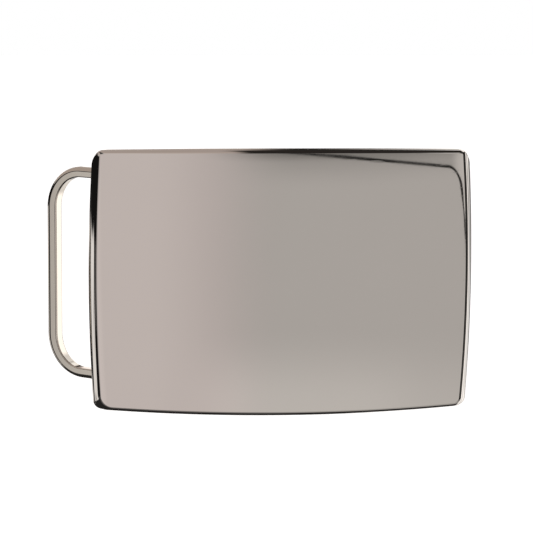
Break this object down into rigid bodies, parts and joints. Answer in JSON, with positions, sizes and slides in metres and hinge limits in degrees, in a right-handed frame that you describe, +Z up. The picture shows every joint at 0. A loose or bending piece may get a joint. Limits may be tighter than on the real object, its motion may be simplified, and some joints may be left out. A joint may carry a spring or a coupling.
{
  "type": "belt buckle",
  "caption": "Curved rectangular plate buckle in polished nickel, with a swivelling wire loop for the strap's sewn end and a hook behind the plate.",
  "frame": {"origin": "middle of the back plate's rear face, where the strap lies", "axes": "+X along the belt toward the hook end, +Y back toward the wearer, out of the plate's rear face, +Z up as worn"},
  "size_m": [0.074, 0.0204, 0.0464],
  "materials": {
    "polished_nickel": "mirror-polished nickel plate with fine rub marks",
    "loop_nickel": "polished nickel-plated flat wire",
    "satin_nickel": "satin brushed nickel plate",
    "fitting_steel": "tumbled nickel-plated steel",
    "rivet_brass": "dull brass rivet heads",
    "pin_steel": "plain steel"
  },
  "bodies": {
    "plate": {"face_shell": "polished_nickel", "back_plate": "satin_nickel", "lug_upper": "fitting_steel", "lug_lower": "fitting_steel", "pin_upper": "pin_steel", "pin_lower": "pin_steel", "lug_rivet_1": "rivet_brass", "lug_rivet_2": "rivet_brass", "lug_rivet_3": "rivet_brass", "lug_rivet_4": "rivet_brass", "hook_base": "fitting_steel", "hook_peg": "loop_nickel", "hook_rivet_1": "rivet_brass", "hook_rivet_2": "rivet_brass"},
    "loop": {"swivel_loop": "loop_nickel"}
  },
  "joints": [
    {"name": "loop_swivel", "type": "hinge", "parent": "plate", "child": "loop", "pos_m": [-0.02732, 0.00613, 0], "axis": [0, 0, -1], "range_deg": [-38, 150]}
  ]
}
